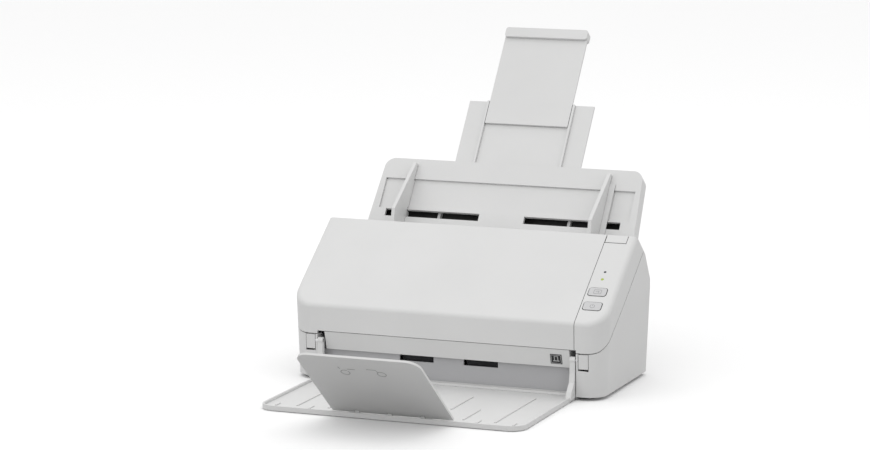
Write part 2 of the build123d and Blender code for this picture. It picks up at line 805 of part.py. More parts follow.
def make_exit_wall():
    """The wall under the exit, with two windows for the eject rollers."""
    floor = BODY_FLOOR + FLOOR_THICK
    front = -56.0
    thick = 1.6
    sill = 21.5
    with BuildPart() as wall:
        with BuildSketch(Plane.XZ.offset(-front)):
            with Locations((0, (floor + EXIT_TOP) / 2)):
                Rectangle(2 * 121.8, EXIT_TOP - floor)
            for x in (-EJECT_X, EJECT_X):
                with Locations((x, (sill + EXIT_TOP) / 2 + 2)):
                    Rectangle(32.5, EXIT_TOP - sill + 4, mode=Mode.SUBTRACT)
        extrude(amount=-thick)
    save(wall.part, "exit_wall")


def make_frames():
    """The two upright frame plates that carry the shafts."""
    floor = BODY_FLOOR + FLOOR_THICK
    outline = [
        (-56.5, floor),
        (60.0, floor),
        (60.0, 84.0),
        (52.0, 95.0),
        (44.0, 104.0),
        (36.0, 110.0),
        (-50.0, 48.7),
        (-56.5, 42.0),
    ]
    with BuildPart() as frame:
        add(side_region(outline, FRAME_X, FRAME_X + FRAME_THICK))
        for axis in (PICK_AXIS, FEED_AXIS, EJECT_AXIS):
            add(rod(axis, BUSH_R, 110, 130), mode=Mode.SUBTRACT)
        add(rod(STRIKER, STRIKER_R, 110, 130), mode=Mode.SUBTRACT)
        with BuildSketch(across(FRAME_X, (-12, 22))):
            SlotOverall(30, 12)
        extrude(amount=FRAME_THICK, mode=Mode.SUBTRACT)
    save(frame.part, "frame_right")
    with BuildPart() as drive_frame:
        add(side_region(outline, -FRAME_X - FRAME_THICK, -FRAME_X))
        for axis in (PICK_AXIS, FEED_AXIS, EJECT_AXIS):
            add(rod(axis, BUSH_R, -130, -110), mode=Mode.SUBTRACT)
        add(rod(STRIKER, STRIKER_R, -130, -110), mode=Mode.SUBTRACT)
        for axis in (IDLER_AXIS, TRANSFER_AXIS):
            add(rod(axis, AXLE_R, -130, -110), mode=Mode.SUBTRACT)
        add(rod(MOTOR_AXIS, 4.0, -130, -110), mode=Mode.SUBTRACT)
    save(drive_frame.part, "frame_left")
    strikers = rod(STRIKER, STRIKER_R, HOOK_X[0] - 0.2, FRAME_X + FRAME_THICK)
    save(both_sides(strikers), "latch_strikers")
    with BuildPart() as bushes:
        for axis in (PICK_AXIS, FEED_AXIS, EJECT_AXIS):
            add(rod(axis, BUSH_R, FRAME_X, FRAME_X + FRAME_THICK + 0.4))
            add(rod(axis, BUSH_R + 0.6, FRAME_X - 1.2, FRAME_X))
            add(rod(axis, SHAFT_R + RUNNING, 110, 130), mode=Mode.SUBTRACT)
    save(both_sides(bushes.part), "shaft_bushes")
    with BuildPart() as axles:
        for axis in (IDLER_AXIS, TRANSFER_AXIS):
            add(rod(axis, AXLE_R, GEAR_X - GEAR_WIDTH - 1.5, -FRAME_X))
    save(axles.part, "idler_axles")


def make_lower_guide():
    """The lower paper guide, from the chute down to the exit, with its windows."""
    thick = 2.0
    path = [chute_point(-7.0), chute_point(CHUTE_FOOT_V), path_point(-54.3)]
    with BuildPart() as guide:
        add(side_region(strip(path, thick), -FRAME_X, FRAME_X))
        for y, x, width, along in (
            (22.0, 0.0, PICK_WIDE + 3, 20.0),
            (0.0, FEED_X, 25.0, 13.0),
            (0.0, -FEED_X, 25.0, 13.0),
            (-49.5, EJECT_X, 32.0, 13.5),
            (-49.5, -EJECT_X, 32.0, 13.5),
            (LOWER_SENSOR_Y, 0.0, 2 * SENSOR_HALF + 0.4, SENSOR_LONG + 0.4),
        ):
            with BuildSketch(path_plane(y, x)):
                Rectangle(width, along)
            extrude(amount=3, both=True, mode=Mode.SUBTRACT)
    save(guide.part, "lower_paper_guide")


def make_electrics():
    """The main board, the two sockets on it, and the motor."""
    with BuildPart() as board:
        with BuildSketch(Plane.XY.offset(MAIN_BOARD_Z)):
            with Locations((55, 31)):
                Rectangle(110, 54)
        extrude(amount=MAIN_BOARD_THICK)
        for x, y, long, wide, tall in ((40, 24, 16, 16, 1.6), (72, 30, 12, 9, 1.4), (20, 40, 10, 10, 6.0)):
            with BuildSketch(Plane.XY.offset(MAIN_BOARD_Z + MAIN_BOARD_THICK)):
                with Locations((x, y)):
                    Rectangle(long, wide)
            extrude(amount=tall)
    save(board.part, "main_board")
    top = MAIN_BOARD_Z + MAIN_BOARD_THICK
    with BuildPart() as inlet:
        with BuildSketch(Plane.XY.offset(top)):
            with Locations((INLET_X, 54)):
                Rectangle(10, 12)
        extrude(amount=PORT_Z + 5 - top)
        with BuildSketch(Plane.XZ.offset(-60)):
            with Locations((INLET_X, PORT_Z)):
                Circle(INLET_R)
        extrude(amount=-3.4)
        with BuildSketch(Plane.XZ.offset(-63.4)):
            with Locations((INLET_X, PORT_Z)):
                Circle(2.75)
                Circle(1.0, mode=Mode.SUBTRACT)
        extrude(amount=9, mode=Mode.SUBTRACT)
    save(inlet.part, "power_inlet")
    with BuildPart() as data:
        with BuildSketch(Plane.XY.offset(top)):
            with Locations((DATA_X, 52)):
                Rectangle(DATA_SIZE[0], 16)
        extrude(amount=PORT_Z + DATA_SIZE[1] / 2 - top)
        with BuildSketch(Plane.XZ.offset(-60)):
            with Locations((DATA_X, PORT_Z)):
                Rectangle(*DATA_SIZE)
        extrude(amount=-3.4)
        with BuildSketch(Plane.XZ.offset(-63.4)) as mouth:
            with Locations((DATA_X, PORT_Z)):
                Rectangle(DATA_SIZE[0] - 3.6, DATA_SIZE[1] - 3.2)
            chamfer(mouth.vertices().group_by(Axis.Y)[-1], 1.6)
            with Locations((DATA_X, PORT_Z)):
                Rectangle(5.6, 3.2, mode=Mode.SUBTRACT)
        extrude(amount=8, mode=Mode.SUBTRACT)
    save(data.part, "data_socket")
    with BuildPart() as motor:
        add(rod(MOTOR_AXIS, MOTOR_R, -FRAME_X, MOTOR_BACK))
        add(rod(MOTOR_AXIS, 4.0, -FRAME_X - FRAME_THICK, -FRAME_X))
        add(rod(MOTOR_AXIS, MOTOR_SHAFT_R + RUNNING, -130, -FRAME_X + 12), mode=Mode.SUBTRACT)
    save(motor.part, "drive_motor")


# Rollers and gears -------------------------------------------------------------------


def gear_outline(teeth, phase):
    """The tooth points of a spur gear, with a tooth centred on the phase angle."""
    pressure = radians(20)
    pitch_r = MODULE * teeth / 2
    base_r = pitch_r * cos(pressure)
    tip_r = pitch_r + ADDENDUM
    root_r = pitch_r - DEDENDUM
    half_pitch = (pi * MODULE / 2 - BACKLASH / 2) / (2 * pitch_r)
    involute = tan(pressure) - pressure
    start_r = max(base_r, root_r)
    flank = [(root_r, half_pitch + involute)] if root_r < base_r else []
    steps = 4
    for i in range(steps + 1):
        r = start_r + (tip_r - start_r) * i / steps
        turn = acos(base_r / r)
        flank.append((r, half_pitch + involute - (tan(turn) - turn)))
    points = []
    for k in range(teeth):
        middle = phase + 2 * pi * k / teeth
        for r, half in flank:
            points.append((r * cos(middle - half), r * sin(middle - half)))
        for r, half in reversed(flank):
            points.append((r * cos(middle + half), r * sin(middle + half)))
    return points


def gear(axis, teeth, phase, bore):
    """A spur gear of the drive train."""
    with BuildPart() as wheel:
        with BuildSketch(across(GEAR_X - GEAR_WIDTH, axis)):
            with BuildLine():
                Polyline(*gear_outline(teeth, phase), close=True)
            make_face()
            Circle(bore, mode=Mode.SUBTRACT)
        extrude(amount=GEAR_WIDTH)
    return wheel.part


def meshed(axis, teeth, phase, other_axis, other_teeth):
    """The phase of the other gear that puts its gap on this gear's tooth."""
    bearing = atan2(other_axis[1] - axis[1], other_axis[0] - axis[0])
    return bearing + pi + (teeth * (bearing - phase) - pi) / other_teeth


def make_gears():
    """The train: motor, idler, pick, feed, transfer and eject gears."""
    feed_phase = 0.0
    idler_phase = meshed(FEED_AXIS, ROLLER_TEETH, feed_phase, IDLER_AXIS, ROLLER_TEETH)
    pick_phase = meshed(IDLER_AXIS, ROLLER_TEETH, idler_phase, PICK_AXIS, ROLLER_TEETH)
    motor_phase = meshed(IDLER_AXIS, ROLLER_TEETH, idler_phase, MOTOR_AXIS, MOTOR_TEETH)
    transfer_phase = meshed(FEED_AXIS, ROLLER_TEETH, feed_phase, TRANSFER_AXIS, TRANSFER_TEETH)
    eject_phase = meshed(TRANSFER_AXIS, TRANSFER_TEETH, transfer_phase, EJECT_AXIS, ROLLER_TEETH)
    save(gear(FEED_AXIS, ROLLER_TEETH, feed_phase, SHAFT_R), "feed_gear")
    save(gear(PICK_AXIS, ROLLER_TEETH, pick_phase, SHAFT_R), "pick_gear")
    save(gear(EJECT_AXIS, ROLLER_TEETH, eject_phase, SHAFT_R), "eject_gear")
    save(gear(IDLER_AXIS, ROLLER_TEETH, idler_phase, AXLE_R + RUNNING), "idler_gear")
    save(gear(TRANSFER_AXIS, TRANSFER_TEETH, transfer_phase, AXLE_R + RUNNING), "transfer_gear")
    with BuildPart() as pinion:
        add(gear(MOTOR_AXIS, MOTOR_TEETH, motor_phase, MOTOR_SHAFT_R))
        add(rod(MOTOR_AXIS, MOTOR_SHAFT_R, GEAR_X - GEAR_WIDTH, -FRAME_X + 11))
    save(pinion.part, "motor_pinion")


def tyres(axis, radius, bore, centres, width):
    """Rubber tyres on a shaft, one at each x."""
    with BuildPart() as tyre:
        for x in centres:
            add(rod(axis, radius, x - width / 2, x + width / 2))
        chamfer(tyre.edges().filter_by(GeomType.CIRCLE), 0.4)
        for x in centres:
            add(rod(axis, bore, x - width, x + width), mode=Mode.SUBTRACT)
    return tyre.part


def make_rollers():
    """Every roller and shaft of the paper path."""
    for name, axis in (("pick", PICK_AXIS), ("feed", FEED_AXIS), ("eject", EJECT_AXIS)):
        shaft = rod(axis, SHAFT_R, GEAR_X - GEAR_WIDTH - 0.6, FRAME_X + FRAME_THICK + 1)
        save(shaft, f"{name}_shaft")
    save(tyres(PICK_AXIS, PICK_R, SHAFT_R, (0,), PICK_WIDE), "pick_roller")
    save(tyres(FEED_AXIS, FEED_R, SHAFT_R, (-FEED_X, FEED_X), 22), "feed_rollers")
    save(tyres(EJECT_AXIS, EJECT_R, SHAFT_R, (-EJECT_X, EJECT_X), 29), "eject_rollers")
    save(tyres(BRAKE_AXIS, BRAKE_R, SHAFT_R, (0,), 30), "brake_roller")
    save(rod(BRAKE_AXIS, SHAFT_R, -27.5, 27.5), "brake_shaft")
    for name, axis, radius, x, width, end in (
        ("feed_pinch_rollers", FEED_PINCH_AXIS, PINCH_R, FEED_X, 20.0, 47.5),
        ("eject_pinch_rollers", EJECT_PINCH_AXIS, EJECT_PINCH_R, EJECT_X, 26.0, 51.5),
    ):
        with BuildPart() as pinch:
            add(rod(axis, PINCH_SHAFT_R, -end, end))
            add(rod(axis, radius, -x - width / 2, -x + width / 2))
            add(rod(axis, radius, x - width / 2, x + width / 2))
        save(pinch.part, name)


# Chute, side guides and extension ----------------------------------------------------


def chute_outline(inset):
    """The chute's outline with round top corners, shrunk by the inset, on the flat."""
    low = CHUTE_HALF - CHUTE_TAPER * CHUTE_LOW - inset
    high = CHUTE_HALF - CHUTE_TAPER * CHUTE_TOP - inset
    top = CHUTE_TOP - inset
    with BuildSketch() as outline:
        with BuildLine():
            Polyline((-low, CHUTE_LOW), (low, CHUTE_LOW), (high, top), (-high, top), close=True)
        make_face()
        fillet(outline.vertices().group_by(Axis.Y)[-1], CHUTE_CORNER - inset)
    return outline.sketch


def chute_box(x_low, x_high, v_low, v_high, w_low, w_high):
    """A block in the chute's own directions."""
    with BuildPart() as block:
        with BuildSketch(chute_plane(w_low, (v_low + v_high) / 2, (x_low + x_high) / 2)):
            Rectangle(x_high - x_low, v_high - v_low)
        extrude(amount=w_high - w_low)
    return block.part


def make_chute():
    """The paper chute: a shallow box with slots for the guides, and its back panel."""
    inner_w = CHUTE_THICK - CHUTE_BACK
    rib_in = EXT_LOW_HALF + 0.4
    rib_out = rib_in + 2.6
    with BuildPart() as chute:
        with BuildSketch(chute_plane(0)):
            add(chute_outline(0))
        extrude(amount=-inner_w)
        with BuildSketch(chute_plane(-CHUTE_FACE)):
            add(chute_outline(CHUTE_SKIN))
        extrude(amount=-CHUTE_THICK, mode=Mode.SUBTRACT)
        for x in (-rib_out, rib_in):
            add(chute_box(x, x + rib_out - rib_in, CHUTE_LOW, CHUTE_TOP - 1, -inner_w, -CHUTE_FACE))
        mouth = chute_box(-rib_in, rib_in, CHUTE_TOP - 8, CHUTE_TOP + 5, -CHUTE_THICK, -EXT_MOUTH)
        add(mouth, mode=Mode.SUBTRACT)
        add(
            chute_box(-120, 120, RACK_V[0] - 2.5, RACK_V[1] + 2.5, RACK_W - 0.7, -CHUTE_FACE),
            mode=Mode.SUBTRACT,
        )
        for x in (-SLOT_X[1], SLOT_X[0]):
            add(chute_box(x, x + SLOT_X[1] - SLOT_X[0], *SLOT_V, -CHUTE_FACE - 1, 1), mode=Mode.SUBTRACT)
        add(chute_box(-RECESS_HALF, RECESS_HALF, *RECESS_V, -2.0, 1), mode=Mode.SUBTRACT)
        with BuildSketch(chute_plane(-CHUTE_FACE, PINION_V)):
            Circle(PINION_AXLE_R)
        extrude(amount=RACK_W + CHUTE_FACE - 0.3)
        for x in (-FRAME_X, LEG_IN):
            add(chute_box(x, x + FRAME_X - LEG_IN, LEG_LOW, 0, -6.0, -CHUTE_FACE + 0.6))
    save(chute.part, "paper_chute")
    with BuildPart() as panel:
        with BuildSketch(chute_plane(-inner_w)):
            add(chute_outline(0))
        extrude(amount=-CHUTE_BACK)
    save(panel.part, "chute_back_panel")


def rack_outline(x_low, x_high):
    """Rack teeth along X, pointing down from the pitch line at zero, with a tooth on x = 0."""
    slope = tan(radians(20))
    half = pi * MODULE / 4 - BACKLASH / 4
    root = half + DEDENDUM * slope
    tip = half - ADDENDUM * slope
    points = [(x_low, RACK_TALL), (x_low, DEDENDUM)]
    first = ceil((x_low + root) / (pi * MODULE))
    last = floor((x_high - root) / (pi * MODULE))
    for k in range(first, last + 1):
        x = k * pi * MODULE
        points += [(x - root, DEDENDUM), (x - tip, -ADDENDUM), (x + tip, -ADDENDUM), (x + root, DEDENDUM)]
    points += [(x_high, DEDENDUM), (x_high, RACK_TALL)]
    return points


def guide_part(v_side):
    """The right side guide; the rack lies above the pinion for +1 and below it for -1."""
    fin = [(14, 0.3), (86, 0.3), (86, 4.5), (25.5, 27.5), (14, 22.5)]
    fin_x = (94.0, 97.2)
    stem_x = (94.0, 98.0)
    v_far = PINION_V + v_side * (PINION_R + RACK_TALL)
    v_stem = (SLOT_V[0] + 0.5, SLOT_V[1] - 0.5)
    with BuildPart() as guide:
        with BuildSketch(Plane.YZ.offset(fin_x[0])):
            with BuildLine():
                Polyline(*[chute_point(v, w) for v, w in fin], close=True)
            make_face()
        extrude(amount=fin_x[1] - fin_x[0])
        add(chute_box(*fin_x, 41.0, 69.5, -1.7, 0.5))
        add(chute_box(fin_x[1] - 0.5, FOOT_OUT, 41.0, 69.5, -1.7, -0.3))
        add(chute_box(fin_x[1] - 0.5, FOOT_OUT, 16.0, 77.0, 0.3, 1.3))
        add(chute_box(*stem_x, *v_stem, RACK_W, 0.6))
        add(chute_box(*stem_x, min(v_stem[0], v_far), max(v_stem[1], v_far), RACK_W, RACK_W + RACK_THICK))
        with BuildSketch(chute_plane(RACK_W, PINION_V)):
            with BuildLine():
                Polyline(
                    *[(x, v_side * (PINION_R + v)) for x, v in rack_outline(-23.0, stem_x[1])],
                    close=True,
                )
            make_face()
        extrude(amount=RACK_THICK)
    return guide.part


def make_guides():
    """The two side guides with their racks, and the pinion between them."""
    save(guide_part(1), "side_guide_right")
    save(mirror(guide_part(-1), about=Plane.YZ), "side_guide_left")
    with BuildPart() as pinion:
        with BuildSketch(chute_plane(RACK_W, PINION_V)):
            with BuildLine():
                Polyline(*gear_outline(PINION_TEETH, pi / 2 + pi / PINION_TEETH), close=True)
            make_face()
            Circle(PINION_AXLE_R + RUNNING, mode=Mode.SUBTRACT)
        extrude(amount=RACK_THICK)
    save(pinion.part, "guide_pinion")


def make_extension():
    """The two telescopic stages behind the chute, the upper one with its top bar."""
    with BuildPart() as lower:
        add(chute_box(-EXT_LOW_HALF, EXT_LOW_HALF, 62, 162, -11, -8.9))
        for x in (-BAR_HALF - 2.5, BAR_HALF + 0.5):
            add(chute_box(x, x + 2, 62, 162, -9, -6.5))
    save(lower.part, "extension_lower_stage")
    with BuildPart() as upper:
        add(chute_box(-BAR_HALF, BAR_HALF, 138, EXT_TOP - BAR_TALL + 2, -8.4, -6.4))
        with BuildSketch(chute_plane(-13.0, EXT_TOP - BAR_TALL / 2)):
            RectangleRounded(2 * BAR_HALF, BAR_TALL, 2.5)
        extrude(amount=9.5)
    save(upper.part, "extension_upper_stage")


# Stacker -----------------------------------------------------------------------------


def make_stacker():
    """The stacker tray: floor, rims, ribs, two arms and the lugs for the stopper."""
    floor_top = TRAY_FLOOR
    arm = [
        (TRAY_AXIS[0] - ARM_HALF, TRAY_AXIS[1]),
        (TRAY_AXIS[0] + ARM_HALF, TRAY_AXIS[1]),
        (TRAY_AXIS[0] + ARM_HALF, 12.0),
        (-59.5, floor_top),
        (-78.0, floor_top),
        (-75.0, 9.0),
        (-68.5, 16.0),
        (TRAY_AXIS[0] - ARM_HALF, 24.0),
    ]
    with BuildPart() as tray:
        with BuildSketch(Plane.XY.offset(TRAY_BOTTOM)) as plan:
            with Locations((0, (TRAY_FRONT + TRAY_REAR) / 2)):
                Rectangle(2 * TRAY_HALF, TRAY_REAR - TRAY_FRONT)
            fillet(plan.vertices().group_by(Axis.Y)[0], TRAY_CORNER)
        extrude(amount=TRAY_RIM - TRAY_BOTTOM)
        with BuildSketch(Plane.XY.offset(floor_top)) as well:
            with Locations((0, (TRAY_FRONT + TRAY_REAR) / 2)):
                Rectangle(2 * TRAY_HALF - 3.2, TRAY_REAR - TRAY_FRONT - 3.2)
            fillet(well.vertices().group_by(Axis.Y)[0], TRAY_CORNER - 1.6)
        extrude(amount=TRAY_RIM, mode=Mode.SUBTRACT)
        for x, y_low, y_high in TRAY_RIBS:
            for side in (-1, 1):
                with BuildSketch(Plane.XY.offset(floor_top)):
                    with Locations((side * x, (y_low + y_high) / 2)):
                        Rectangle(1.4, y_high - y_low)
                extrude(amount=RIB_TALL)
        for x in (-ARM_OUT, ARM_IN):
            add(side_region(arm, x, x + ARM_OUT - ARM_IN))
            add(rod(TRAY_AXIS, 2.9, x, x + ARM_OUT - ARM_IN))
        add(rod(TRAY_AXIS, TRAY_PIN_R + RUNNING, -130, 130), mode=Mode.SUBTRACT)
        for x in STOPPER_LUGS:
            foot = [
                (STOPPER_AXIS[0] - STOPPER_KNUCKLE, floor_top - 0.5),
                (STOPPER_AXIS[0] + STOPPER_KNUCKLE, floor_top - 0.5),
                (STOPPER_AXIS[0] + STOPPER_KNUCKLE, STOPPER_AXIS[1]),
                (STOPPER_AXIS[0] - STOPPER_KNUCKLE, STOPPER_AXIS[1]),
            ]
            add(side_region(foot, x - 2, x + 2))
            add(rod(STOPPER_AXIS, STOPPER_KNUCKLE, x - 2, x + 2))
        add(rod(STOPPER_AXIS, STOPPER_PIN_R + RUNNING, -40, 40), mode=Mode.SUBTRACT)
    save(tray.part, "stacker_tray")


def stopper_plane(v, x=0.0):
    """A plane in the middle of the stopper: X across, Y up the flap, Z out of its front."""
    angle = radians(STOPPER_ANGLE)
    y = STOPPER_AXIS[0] - v * cos(angle)
    z = STOPPER_AXIS[1] + v * sin(angle)
    return Plane(origin=(x, y, z), x_dir=(1, 0, 0), z_dir=(0, -sin(angle), -cos(angle)))


def make_stopper():
    """The stopper flap, round at its top corners, with its moulded pin."""
    half = STOPPER_THICK / 2
    with BuildPart() as stopper:
        with BuildSketch(stopper_plane(STOPPER_LONG / 2, STOPPER_MIDDLE).offset(-half)) as plan:
            Rectangle(2 * STOPPER_HALF, STOPPER_LONG)
            fillet(plan.vertices().group_by(Axis.Y)[-1], STOPPER_CORNER)
        extrude(amount=STOPPER_THICK)
        for x in STOPPER_LUGS:
            with BuildSketch(stopper_plane(0, x)):
                Rectangle(5, 2 * (STOPPER_KNUCKLE + 1))
            extrude(amount=3, both=True, mode=Mode.SUBTRACT)
        add(rod(STOPPER_AXIS, STOPPER_KNUCKLE - 0.6, -38, STOPPER_LUGS[0] - 2.5))
        add(rod(STOPPER_AXIS, STOPPER_KNUCKLE - 0.6, STOPPER_LUGS[-1] + 2.5, 38))
        add(rod(STOPPER_AXIS, STOPPER_PIN_R, -38, 38))
    save(stopper.part, "stopper_flap")


make_front_cover()
make_control_panel()
make_lamps()
make_buttons()
make_panel_board()
make_cover_frame()
make_hinge_lugs()
make_label()
make_latch()
make_sensors()
make_bottom_tray()
make_screws()
make_side_covers()
make_rear_cover()
make_exit_wall()
make_frames()
make_lower_guide()
make_electrics()
make_gears()
make_rollers()
make_chute()
make_guides()
make_extension()
make_stacker()
make_stopper()
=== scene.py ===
"""The looks of a sheet fed document scanner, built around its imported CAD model."""

import json
import math

import bmesh
import bpy
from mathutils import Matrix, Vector


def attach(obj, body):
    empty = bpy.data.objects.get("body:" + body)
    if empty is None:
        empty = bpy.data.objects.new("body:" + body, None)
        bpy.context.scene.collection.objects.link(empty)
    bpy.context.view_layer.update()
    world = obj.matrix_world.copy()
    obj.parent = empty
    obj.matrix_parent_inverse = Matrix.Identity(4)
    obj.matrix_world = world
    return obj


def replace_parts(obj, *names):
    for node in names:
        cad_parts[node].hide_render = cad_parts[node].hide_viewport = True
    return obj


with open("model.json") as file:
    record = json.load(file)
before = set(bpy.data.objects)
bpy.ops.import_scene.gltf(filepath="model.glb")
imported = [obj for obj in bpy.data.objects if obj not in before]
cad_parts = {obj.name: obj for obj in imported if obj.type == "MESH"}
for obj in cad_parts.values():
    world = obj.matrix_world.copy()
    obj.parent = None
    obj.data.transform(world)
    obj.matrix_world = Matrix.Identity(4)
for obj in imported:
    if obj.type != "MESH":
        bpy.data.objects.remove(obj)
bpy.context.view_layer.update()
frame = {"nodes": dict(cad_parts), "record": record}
MM = 0.001

# Directions shared with the CAD model ------------------------------------------------

SLOPE_ANGLE = math.radians(35.5)
CREASE = Vector((0.0, -67.5, 68.5)) * MM
SLOPE_UP = Vector((0.0, math.cos(SLOPE_ANGLE), math.sin(SLOPE_ANGLE)))
SLOPE_NORMAL = Vector((0.0, -math.sin(SLOPE_ANGLE), math.cos(SLOPE_ANGLE)))
CHUTE_ANGLE = math.radians(53.5)
CHUTE_NORMAL = Vector((0.0, -math.sin(CHUTE_ANGLE), math.cos(CHUTE_ANGLE)))


# Camera, light and floor -------------------------------------------------------------


def make_camera():
    """The camera at the photograph's viewing angle."""
    azimuth = math.radians(21.42)
    elevation = math.radians(9.35)
    distance = 2.911
    aim = Vector((-0.0349, 0.0, 0.13595))
    away = Vector(
        (
            math.sin(azimuth) * math.cos(elevation),
            -math.cos(azimuth) * math.cos(elevation),
            math.sin(elevation),
        )
    )
    data = bpy.data.cameras.new("camera")
    data.lens = 133.54
    data.sensor_width = 36.0
    data.clip_end = 50.0
    camera = bpy.data.objects.new("camera", data)
    bpy.context.scene.collection.objects.link(camera)
    camera.location = aim + away * distance
    camera.rotation_euler = (-away).to_track_quat("-Z", "Y").to_euler()
    bpy.context.scene.camera = camera


def area_light(name, place, aim, size, power):
    """A square soft box that faces a point."""
    data = bpy.data.lights.new(name, "AREA")
    data.shape = "SQUARE"
    data.size = size
    data.energy = power
    light = bpy.data.objects.new(name, data)
    bpy.context.scene.collection.objects.link(light)
    light.location = place
    light.rotation_euler = (Vector(aim) - Vector(place)).to_track_quat("-Z", "Y").to_euler()


def make_lights():
    """White surroundings, one soft box overhead and a weak one at the left front."""
    bpy.context.scene.view_settings.view_transform = "Standard"
    world = bpy.data.worlds.new("studio")
    world.use_nodes = True
    sky = world.node_tree.nodes["Background"]
    sky.inputs["Color"].default_value = (1.0, 1.0, 1.0, 1.0)
    sky.inputs["Strength"].default_value = 0.97
    bpy.context.scene.world = world
    area_light("overhead_box", (0.1, 0.1, 2.4), (0.0, 0.0, 0.1), 2.2, 9.0)
    area_light("front_box", (-1.6, -2.0, 1.3), (0.0, 0.0, 0.1), 1.2, 4.0)


def make_floor():
    """A pale floor, and a greyer one that only bounces light, as a cut-out photograph has."""
    half = 12.0
    corners = [(-half, -half, 0.0), (half, -half, 0.0), (half, half, 0.0), (-half, half, 0.0)]
    for name, drop, grey in (("floor", 0.0, 0.97), ("bounce_floor", 0.0004, 0.48)):
        mesh = bpy.data.meshes.new(name)
        mesh.from_pydata([(x, y, z - drop) for x, y, z in corners], [], [(0, 1, 2, 3)])
        floor = bpy.data.objects.new(name, mesh)
        bpy.context.scene.collection.objects.link(floor)
        material = bpy.data.materials.new(name)
        material.use_nodes = True
        shader = material.node_tree.nodes["Principled BSDF"]
        shader.inputs["Base Color"].default_value = (grey, grey, grey, 1.0)
        shader.inputs["Roughness"].default_value = 0.9
        shader.inputs["Specular IOR Level"].default_value = 0.1
        mesh.materials.append(material)
        if name == "floor":
            floor.visible_diffuse = False
            floor.visible_shadow = False
        else:
            floor.visible_camera = False
            floor.visible_glossy = False


# Material helpers --------------------------------------------------------------------


def start_material(name):
    """A node material, its tree and its shader."""
    material = bpy.data.materials.new(name)
    material.use_nodes = True
    tree = material.node_tree
    return material, tree, tree.nodes["Principled BSDF"]


def place(tree, stretch=(1.0, 1.0, 1.0)):
    """Object coordinates in metres, squeezed along an axis where a texture is drawn out."""
    coordinates = tree.nodes.new("ShaderNodeTexCoord")
    mapping = tree.nodes.new("ShaderNodeMapping")
    mapping.inputs["Scale"].default_value = stretch
    tree.links.new(coordinates.outputs["Object"], mapping.inputs["Vector"])
    return mapping.outputs["Vector"]


def noise(tree, where, per_metre, detail=2.0):
    """A noise texture with that many grains in a metre."""
    texture = tree.nodes.new("ShaderNodeTexNoise")
    texture.inputs["Scale"].default_value = per_metre
    texture.inputs["Detail"].default_value = detail
    tree.links.new(where, texture.inputs["Vector"])
    return texture.outputs["Fac"]


def ramp(tree, fac, stops):
    """A colour ramp of (position, linear colour) stops."""
    node = tree.nodes.new("ShaderNodeValToRGB")
    node.color_ramp.elements[0].position = stops[0][0]
    node.color_ramp.elements[0].color = (*stops[0][1], 1.0)
    node.color_ramp.elements[1].position = stops[-1][0]
    node.color_ramp.elements[1].color = (*stops[-1][1], 1.0)
    for position, colour in stops[1:-1]:
        element = node.color_ramp.elements.new(position)
        element.color = (*colour, 1.0)
    tree.links.new(fac, node.inputs["Fac"])
    return node.outputs["Color"]


def spread(tree, fac, low, high):
    """A value between low and high that follows a texture."""
    node = tree.nodes.new("ShaderNodeMapRange")
    node.inputs["From Min"].default_value = 0.3
    node.inputs["From Max"].default_value = 0.7
    node.inputs["To Min"].default_value = low
    node.inputs["To Max"].default_value = high
    tree.links.new(fac, node.inputs["Value"])
    return node.outputs["Result"]


def bump(tree, shader, height, depth, strength=1.0):
    """Fine relief of that depth in metres."""
    node = tree.nodes.new("ShaderNodeBump")
    node.inputs["Distance"].default_value = depth
    node.inputs["Strength"].default_value = strength
    tree.links.new(height, node.inputs["Height"])
    tree.links.new(node.outputs["Normal"], shader.inputs["Normal"])


def shade(colour, factor):
    """A colour made lighter or darker."""
    return tuple(min(1.0, c * factor) for c in colour)


def painted_crease_shade(tree, colours, reach=0.0016, darkest_painted_shade=0.12):
    """Paints shade into a colour, darkening it in narrow gaps and inner corners where shade falls."""
    occlusion = tree.nodes.new("ShaderNodeAmbientOcclusion")
    occlusion.samples = 6
    occlusion.inputs["Distance"].default_value = reach
    depth = ramp(tree, occlusion.outputs["AO"], [(0.1, (darkest_painted_shade,) * 3), (0.7, (1.0, 1.0, 1.0))])
    mix = tree.nodes.new("ShaderNodeMix")
    mix.data_type = "RGBA"
    mix.blend_type = "MULTIPLY"
    mix.inputs["Factor"].default_value = 1.0
    tree.links.new(colours, mix.inputs[6])
    tree.links.new(depth, mix.inputs[7])
    return mix.outputs[2]


def moulded(name, colour, rough, grain=2600.0, depth=0.00003, specular=0.45, vary=0.02):
    """Moulded plastic: a spark eroded grain, slow changes of tone and a little handling gloss."""
    material, tree, shader = start_material(name)
    where = place(tree)
    fine = noise(tree, where, grain, 3.0)
    slow = noise(tree, where, 14.0, 4.0)
    colours = ramp(tree, slow, [(0.3, shade(colour, 1 - vary)), (0.7, shade(colour, 1 + vary))])
    # The colour gets painted shade, darker in narrow gaps and inner corners.
    tree.links.new(painted_crease_shade(tree, colours), shader.inputs["Base Color"])
    tree.links.new(spread(tree, slow, rough - 0.05, rough + 0.05), shader.inputs["Roughness"])
    shader.inputs["Specular IOR Level"].default_value = specular
    bump(tree, shader, fine, depth)
    return material


